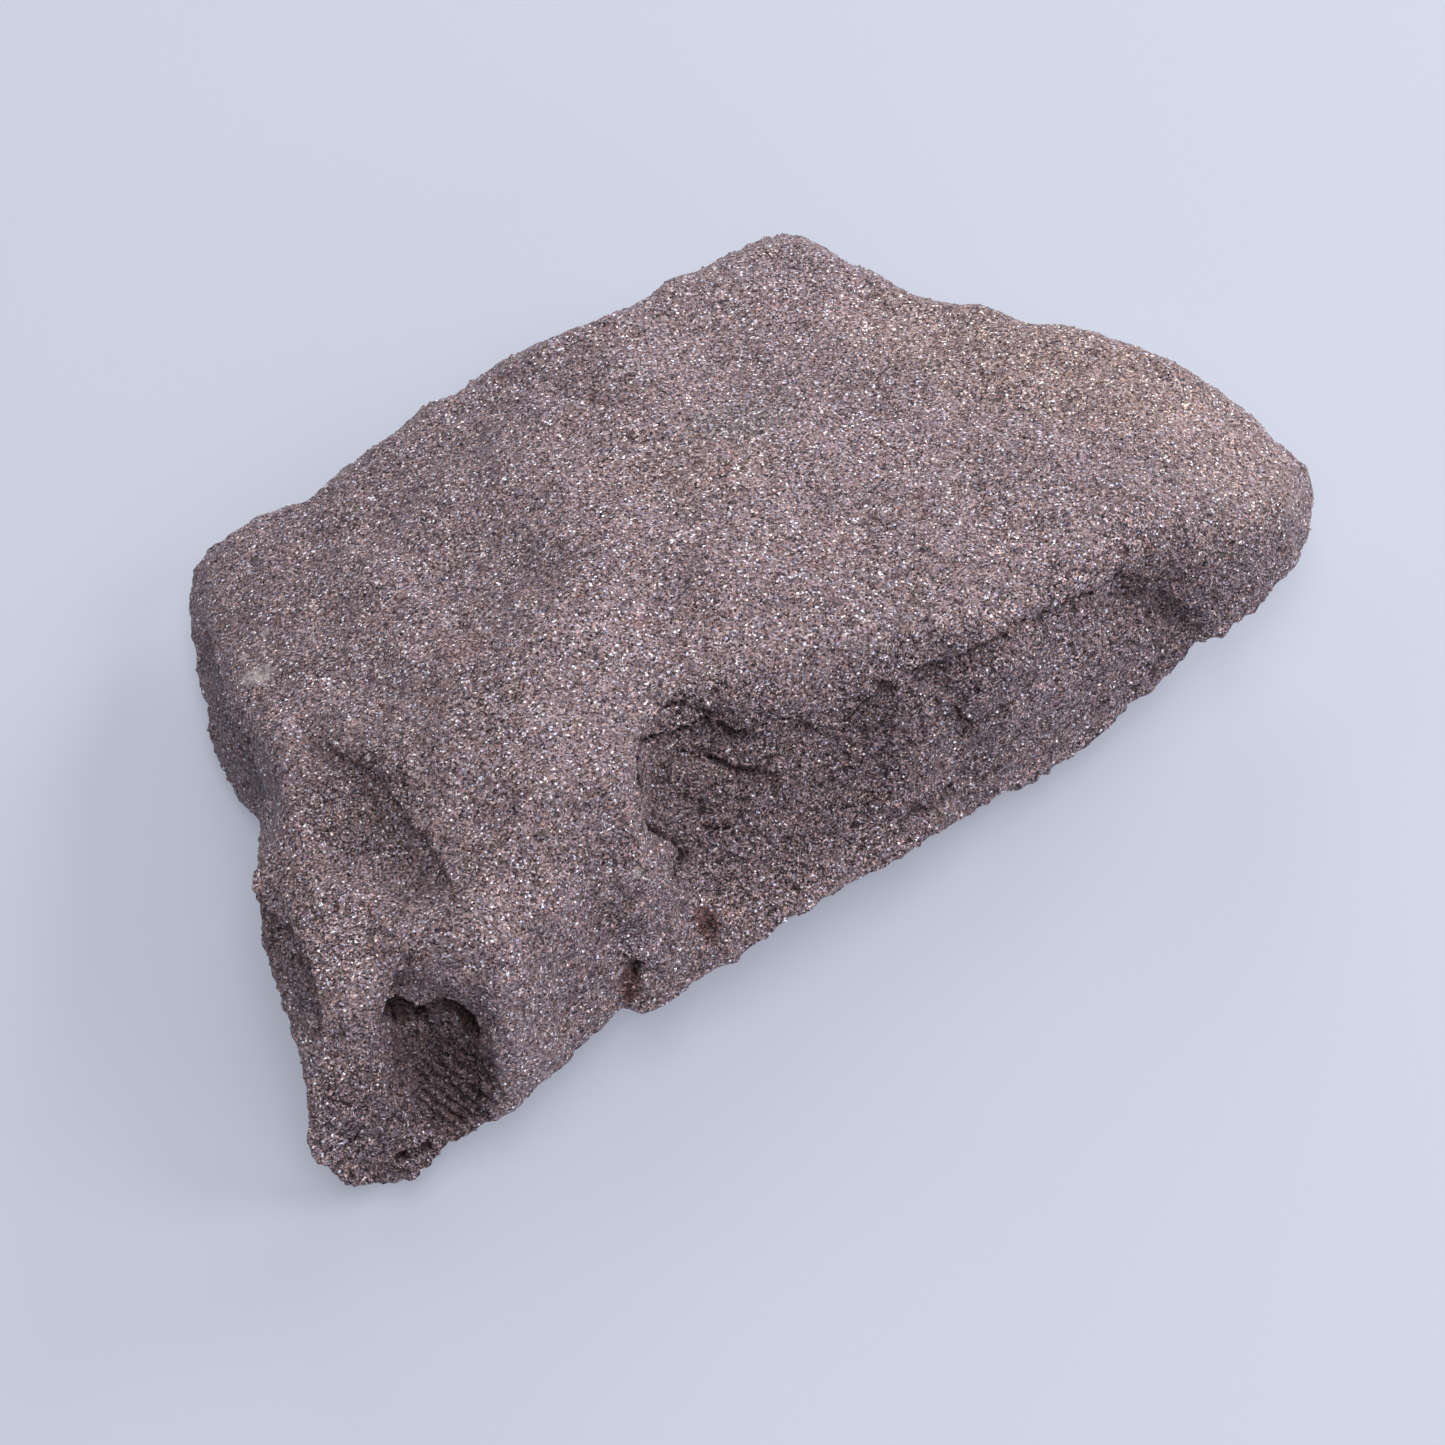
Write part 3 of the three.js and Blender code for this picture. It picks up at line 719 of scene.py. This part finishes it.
def make_surface():
    """The stone's surface, cut finely and broken: its points, normals and triangles, and the painted
    shade of each point, in a crack, on the fallen side of a step or between the scoop's ribs."""
    points, triangles = solid_surface(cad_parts["sandstone"])
    lines = lines_on_stone(points, triangles)
    normals = point_normals(points, triangles)
    way = point_normals(points, triangles, NORMAL_ROUNDS)
    points, triangles, way = cut_triangles(points, normals, triangles, way, lines)
    upper = smoothstep(way[:, 2], *BREAKS_FACING)
    noise = Noise(SEED + 1)
    wobble = sum(stray * noise(points, size) for size, stray in WOBBLE)
    closed = smoothstep(noise(points + APART["closed"], CLOSED["size"]), *CLOSED["fade"])
    left_open = 1 - CLOSED["share"] * closed
    cracks = upper * left_open * crack_depth(points, way, wobble, lines)
    steps, shade = step_relief(points, way, wobble, lines)
    ribs = rib_relief(points, RIBS["wobble"] * wobble)
    broken = upper * (steps + pit_relief(points) + RIBS["rise"] * ribs)
    points = points + (broken - cracks + fine_relief(points, way))[:, None] * way
    points[:, 2] = np.maximum(points[:, 2], 0)  # the resting patch stays flat, but for its pits
    # Painted shade, for the materials: in the cracks, on the fallen side of the steps and between the
    # ribs.
    shade = shade * left_open + RIBS["shade"] * np.maximum(-ribs, 0)
    dark = np.clip(CRACK_SHADE * cracks + upper * shade, 0, 1)
    return points, point_normals(points, triangles), triangles, dark


# ----------------------------------------------------------------------------
# Grains: joined irregular octahedra
# ----------------------------------------------------------------------------


def random_turns(count, rng):
    """Random turns in space, as three axes each."""
    first, other = unit(rng.normal(size=(2, count, 3)))
    second = unit(np.cross(first, other))
    return np.stack([first, second, np.cross(first, second)], axis=1)


def make_grains(surface, rng):
    """Grains seated in the surface: their points and triangles, and each grain's place and the painted
    shade of the surface there."""
    points, normals, triangles, dark = surface
    a, b, c = (points[triangles[:, i]] for i in range(3))
    area = np.linalg.norm(np.cross(b - a, c - a), axis=1)
    facing = normals[triangles].mean(axis=1)[:, 2]
    share = np.where(facing > UNDERSIDE_GRAINS["facing"], 1, UNDERSIDE_GRAINS["share"])
    in_crack = smoothstep(dark[triangles].max(axis=1), *CRACK_GRAINS["fade"])
    share = share * (1 - CRACK_GRAINS["lost"] * in_crack)
    share[points[triangles][:, :, 2].max(axis=1) < RESTING_HEIGHT] = 0
    for spot in BARE_SPOTS:
        away = np.linalg.norm((a + b + c) / 3 - spot["place"], axis=1)
        share[away < spot["radius"]] = 0
    weight = area * share
    seats = rng.choice(len(triangles), GRAIN_COUNT, p=weight / weight.sum())
    corner_share = rng.dirichlet((1, 1, 1), GRAIN_COUNT)[:, :, None]
    place = (points[triangles[seats]] * corner_share).sum(axis=1)
    normal = unit((normals[triangles[seats]] * corner_share).sum(axis=1))
    radius = GRAIN_RADIUS * np.exp(rng.normal(0, GRAIN_SPREAD, GRAIN_COUNT))
    radius = np.clip(radius, *GRAIN_LIMITS)[:, None]
    reach = radius[:, :, None] * rng.uniform(*GRAIN_CORNERS, (GRAIN_COUNT, len(CORNERS), 1))
    middle = place - GRAIN_SINK * radius * normal
    grain_points = middle[:, None] + reach * (CORNERS @ random_turns(GRAIN_COUNT, rng))
    grain_points[:, :, 2] = np.maximum(grain_points[:, :, 2], 0)
    first = len(CORNERS) * np.arange(GRAIN_COUNT)[:, None, None]
    grain_dark = (dark[triangles[seats]] * corner_share[:, :, 0]).sum(axis=1)
    return grain_points.reshape(-1, 3), (first + FACES).reshape(-1, 3), place, grain_dark


# ----------------------------------------------------------------------------
# Meshes
# ----------------------------------------------------------------------------


def add_piece(name, points, triangles, material, smooth, readings):
    """Adds a piece that rides with the stone. readings are numbers at each point that its material
    reads by name."""
    mesh = bpy.data.meshes.new(name)
    mesh.vertices.add(len(points))
    mesh.vertices.foreach_set("co", (points * MM).ravel())
    mesh.loops.add(triangles.size)
    mesh.loops.foreach_set("vertex_index", triangles.ravel())
    mesh.polygons.add(len(triangles))
    mesh.polygons.foreach_set("loop_start", np.arange(0, triangles.size, 3))
    mesh.polygons.foreach_set("use_smooth", np.full(len(triangles), smooth))
    mesh.update(calc_edges=True)
    for reading, values in readings.items():
        mesh.attributes.new(reading, "FLOAT", "POINT").data.foreach_set("value", values)
    mesh.materials.append(material)
    piece = bpy.data.objects.new(name, mesh)
    bpy.context.scene.collection.objects.link(piece)
    return piece


# ----------------------------------------------------------------------------
# Materials
# ----------------------------------------------------------------------------


class Recipe:
    """A material's nodes. Each step makes a node or two and gives back what comes out."""

    def __init__(self, name):
        self.material = bpy.data.materials.new(name)
        self.material.use_nodes = True
        self.tree = self.material.node_tree
        self.tree.nodes.clear()
        self.place = self.add("ShaderNodeTexCoord").outputs["Object"]

    def add(self, kind, settings=None, inputs=None):
        node = self.tree.nodes.new(kind)
        for name, value in (settings or {}).items():
            setattr(node, name, value)
        for name, value in (inputs or {}).items():
            self.give(node.inputs[name], value)
        return node

    def give(self, socket, value):
        if isinstance(value, bpy.types.NodeSocket):
            self.tree.links.new(value, socket)
        elif socket.type == "RGBA":
            socket.default_value = (*value, 1)
        else:
            socket.default_value = value

    def reading(self, name):
        return self.add("ShaderNodeAttribute", {"attribute_name": name}).outputs["Fac"]

    def math(self, operation, a, b, c=0.0):
        """The result of an operation, held between 0 and 1."""
        settings = {"operation": operation, "use_clamp": True}
        return self.add("ShaderNodeMath", settings, {0: a, 1: b, 2: c}).outputs[0]

    def mix(self, share, a, b, blend="MIX"):
        settings = {"data_type": "RGBA", "blend_type": blend}
        return self.add("ShaderNodeMix", settings, {0: share, 6: a, 7: b}).outputs[2]

    def tinted(self, color, tint):
        return self.mix(1.0, color, tint, "MULTIPLY")

    def ramp(self, value, stops):
        node = self.add("ShaderNodeValToRGB", inputs={0: value})
        elements = node.color_ramp.elements
        while len(elements) < len(stops):
            elements.new(1)
        for element, (position, color) in zip(elements, stops):
            element.position = position
            element.color = (*color, 1)
        return node.outputs[0]

    def spread(self, value, low, high, start=0.0, stop=1.0):
        """A value from start to stop, spread evenly from low to high and held within them."""
        ends = {"Value": value, "From Min": start, "From Max": stop, "To Min": low, "To Max": high}
        return self.add("ShaderNodeMapRange", inputs=ends).outputs[0]

    def grey(self, value):
        return self.add("ShaderNodeCombineXYZ", inputs={0: value, 1: value, 2: value}).outputs[0]

    def noise(self, size, detail=2.0, roughness=0.5):
        inputs = {"Vector": self.place, "Scale": 1 / (size * MM), "Detail": detail,
                  "Roughness": roughness}
        return self.add("ShaderNodeTexNoise", inputs=inputs).outputs["Fac"]

    def clouds(self, size, low, high, detail=2.0, roughness=0.5, start=0.0, stop=1.0):
        return self.spread(self.noise(size, detail, roughness), low, high, start, stop)

    def cells(self, size):
        """Grain-sized cells: the random red, green and blue of each, and the distance from its
        middle."""
        inputs = {"Vector": self.place, "Scale": 1 / (size * MM)}
        node = self.add("ShaderNodeTexVoronoi", inputs=inputs)
        parts = self.add("ShaderNodeSeparateColor", inputs={0: node.outputs["Color"]})
        return parts.outputs, node.outputs["Distance"]

    def bump(self, height, strength, depth, inverted=False):
        inputs = {"Strength": strength, "Distance": depth * MM, "Height": height}
        return self.add("ShaderNodeBump", {"invert": inverted}, inputs).outputs[0]

    def finish(self, color, roughness, normal, **constants):
        inputs = {"Base Color": color, "Roughness": roughness, "Normal": normal}
        shader = self.add("ShaderNodeBsdfPrincipled", inputs=inputs)
        for name, value in constants.items():
            shader.inputs[name.replace("_", " ")].default_value = value
        output = self.add("ShaderNodeOutputMaterial")
        self.tree.links.new(shader.outputs[0], output.inputs[0])
        return self.material


def stained(recipe, color):
    """The colour with the stone's mottling, its stains, and painted shade in its cracks, below its
    steps, between its ribs and in spots on its rough ground.
    """
    color = recipe.tinted(color, recipe.grey(recipe.clouds(**MOTTLE)))
    color = recipe.tinted(color, recipe.ramp(recipe.noise(**HUE_PATCHES), HUES))
    gritty = recipe.math("MULTIPLY_ADD", recipe.reading("rough"), GRIT_SHARE["rough"],
                         GRIT_SHARE["smooth"])
    color = recipe.mix(gritty, color, recipe.tinted(color, recipe.grey(recipe.clouds(**GRIT))))
    patchy = recipe.clouds(**STAIN_PATCHES)
    for kind, tint in STAIN_AND_SHADE_TINTS.items():
        strength = recipe.math("MULTIPLY", recipe.reading(kind), patchy)
        color = recipe.mix(strength, color, recipe.tinted(color, tint))
    pale = recipe.math("MULTIPLY", recipe.reading("pale"), PALE_SHARE)
    color = recipe.mix(pale, color, PALE_PATCH)
    # Painted shade: the dark of cracks, steps and ribs, and spots of it on rough ground.
    spots = recipe.clouds(**PAINTED_SHADE_SPOTS)
    dark = recipe.math("MULTIPLY_ADD", recipe.reading("rough"), spots, recipe.reading("dark"))
    return recipe.mix(dark, color, recipe.tinted(color, PAINTED_SHADE_TINT))


def faceted(recipe, random, tilt, bump):
    """The normal of a bump, tilted by a random amount in each cell."""
    parts = [recipe.spread(part, -tilt, tilt) for part in random]
    lean = recipe.add("ShaderNodeCombineXYZ", inputs=dict(enumerate(parts))).outputs[0]
    both = recipe.add("ShaderNodeVectorMath", {"operation": "ADD"}, {0: bump, 1: lean}).outputs[0]
    return recipe.add("ShaderNodeVectorMath", {"operation": "NORMALIZE"}, {0: both}).outputs[0]


def make_stone_material():
    recipe = Recipe("sandstone_finish")
    random, away = recipe.cells(STONE_CELL)
    coarse, _ = recipe.cells(TINT_CELL)
    color = recipe.tinted(recipe.ramp(random[0], SPECKLE_AND_GLINTS), recipe.ramp(coarse[1], TINTS))
    cell_relief = recipe.math("MULTIPLY", away, CELL_HEIGHT)
    lump_relief = recipe.math("MULTIPLY", recipe.noise(**LUMPS), LUMP_HEIGHT)
    bump = recipe.bump(recipe.math("ADD", cell_relief, lump_relief), **STONE_BUMP)
    normal = faceted(recipe, random, STONE_TILT, bump)
    roughness = recipe.spread(random[2], *STONE_GLOSS)
    return recipe.finish(stained(recipe, color), roughness, normal, IOR=STONE_IOR)


def make_grain_material(name, kind):
    recipe = Recipe(name + "_finish")
    random, away = recipe.cells(GRAIN_CELL)
    tones = [(0.0, kind["dark"]), (MIDDLE_TONE, kind["middle"]), (1.0, kind["pale"])]
    spots = recipe.grey(recipe.spread(random[0], *GRAIN_SPOTS))
    color = recipe.tinted(recipe.ramp(recipe.reading("tone"), tones), spots)
    roughness = recipe.spread(random[1], kind["roughness"], kind["roughness"] + GRAIN_DULLEST)
    bump = recipe.bump(away, **GRAIN_BUMP)
    return recipe.finish(stained(recipe, color), roughness, bump, IOR=GRAIN_IOR)


# ----------------------------------------------------------------------------
# The stone and its grains
# ----------------------------------------------------------------------------


def readings_at(places, dark, repeat=1, **others):
    """What the materials read at each place, each value repeat times."""
    readings = {kind: stain_strength(places, kind) for kind in STAINS_AND_SHADE}
    readings |= {"dark": dark, "rough": extra_roughness(places), **others}
    return {name: np.repeat(values, repeat) for name, values in readings.items()}


def make_specimen():
    surface = make_surface()
    points, normals, triangles, dark = surface
    stone = add_piece("stone", points, triangles, make_stone_material(), True,
                      readings_at(points, dark))
    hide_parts("sandstone")
    pieces = [stone]
    rng = np.random.default_rng(SEED)
    for name, kind in GRAIN_KINDS.items():
        grain_points, grain_triangles, place, grain_dark = make_grains(surface, rng)
        tone = rng.random(GRAIN_COUNT)
        readings = readings_at(place, grain_dark, repeat=len(CORNERS), tone=tone)
        pieces.append(add_piece(name, grain_points, grain_triangles,
                                make_grain_material(name, kind), False, readings))
    for piece in pieces:
        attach(piece, "root")


# ----------------------------------------------------------------------------
# The table, the lamps and the camera
# ----------------------------------------------------------------------------


def make_table():
    mesh = bpy.data.meshes.new("table")
    radius = FLOOR_RADIUS * MM
    turns = np.linspace(0, 2 * math.pi, FLOOR_SIDES, endpoint=False)
    rim = [(radius * math.cos(turn), radius * math.sin(turn), 0) for turn in turns]
    mesh.from_pydata(rim, [], [list(range(len(rim)))])
    recipe = Recipe("table_finish")
    grain = recipe.bump(recipe.noise(TABLE_GRAIN["size"]), TABLE_GRAIN["strength"],
                        TABLE_GRAIN["depth"])
    brighter = tuple(np.array(TABLE_COLOR) * TABLE_CLOUDS["brighter"])
    stops = [(TABLE_CLOUDS["start"], TABLE_COLOR), (TABLE_CLOUDS["stop"], brighter)]
    clouds = recipe.ramp(recipe.noise(TABLE_CLOUDS["size"]), stops)
    glow = {"Emission_Color": (*TABLE_GLOW, 1), "Emission_Strength": 1}
    mesh.materials.append(recipe.finish(clouds, TABLE_ROUGHNESS, grain, **glow))
    table = bpy.data.objects.new("table", mesh)
    table.location.z = -FLOOR_DROP * MM
    bpy.context.scene.collection.objects.link(table)


def aim(thing, place, target):
    place, target = Vector(place) * MM, Vector(target) * MM
    thing.location = place
    thing.rotation_euler = (target - place).to_track_quat("-Z", "Y").to_euler()
    bpy.context.scene.collection.objects.link(thing)


def make_lamps():
    for name, lamp in LAMPS.items():
        data = bpy.data.lights.new(name, "AREA")
        data.shape = "DISK"
        data.size = lamp["width"] * MM
        data.energy = lamp["power"]
        data.color = LAMP_COLOR
        turn, rise = math.radians(lamp["azimuth"]), math.radians(lamp["elevation"])
        toward = Vector((math.cos(turn) * math.cos(rise), math.sin(turn) * math.cos(rise),
                         math.sin(rise)))
        aim(bpy.data.objects.new(name, data), toward * LAMP_DISTANCE, (0, 0, 0))
    world = bpy.data.worlds.new("studio")
    world.use_nodes = True
    sky = world.node_tree.nodes["Background"]
    sky.inputs["Color"].default_value = (*SKY_COLOR, 1)
    sky.inputs["Strength"].default_value = SKY_STRENGTH
    bpy.context.scene.world = world


def make_camera():
    data = bpy.data.cameras.new("camera")
    data.sensor_width = SENSOR
    data.lens = CAMERA["lens"]
    data.clip_start = CAMERA["nearest"] * MM
    data.clip_end = CAMERA["furthest"] * MM
    camera = bpy.data.objects.new("camera", data)
    aim(camera, camera_axes()[0], CAMERA["target"])
    bpy.context.scene.camera = camera


make_camera()
make_table()
make_lamps()
make_specimen()
bpy.context.scene.view_settings.view_transform = "Standard"

bpy.context.view_layer.update()
